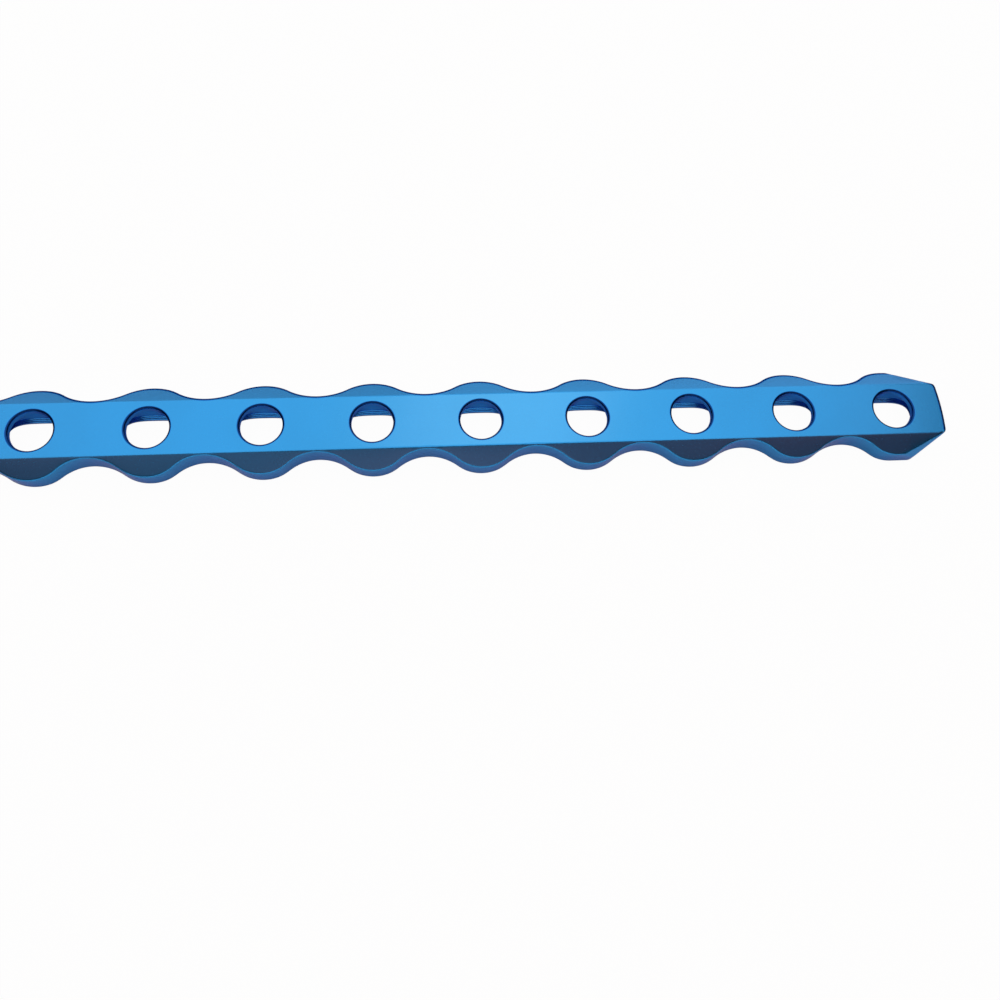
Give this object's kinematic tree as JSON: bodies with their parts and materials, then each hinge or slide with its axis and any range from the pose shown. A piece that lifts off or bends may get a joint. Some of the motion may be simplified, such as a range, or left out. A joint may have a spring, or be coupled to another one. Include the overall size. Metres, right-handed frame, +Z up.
{
  "type": "orthopedic bone plate",
  "caption": "Straight bone plate with scalloped edges, a row of round screw holes, sloping side facets and a hollow bone side.",
  "frame": {"origin": "under the middle of the plate, at the level that its lowest edges rest on", "axes": "+X along the plate, +Y across it, +Z up from the bone side to the top strip"},
  "size_m": [0.1198, 0.0106, 0.003],
  "materials": {
    "anodised_titanium": "satin blue anodised titanium"
  },
  "bodies": {
    "root": {"bone_plate": "anodised_titanium"}
  },
  "joints": []
}
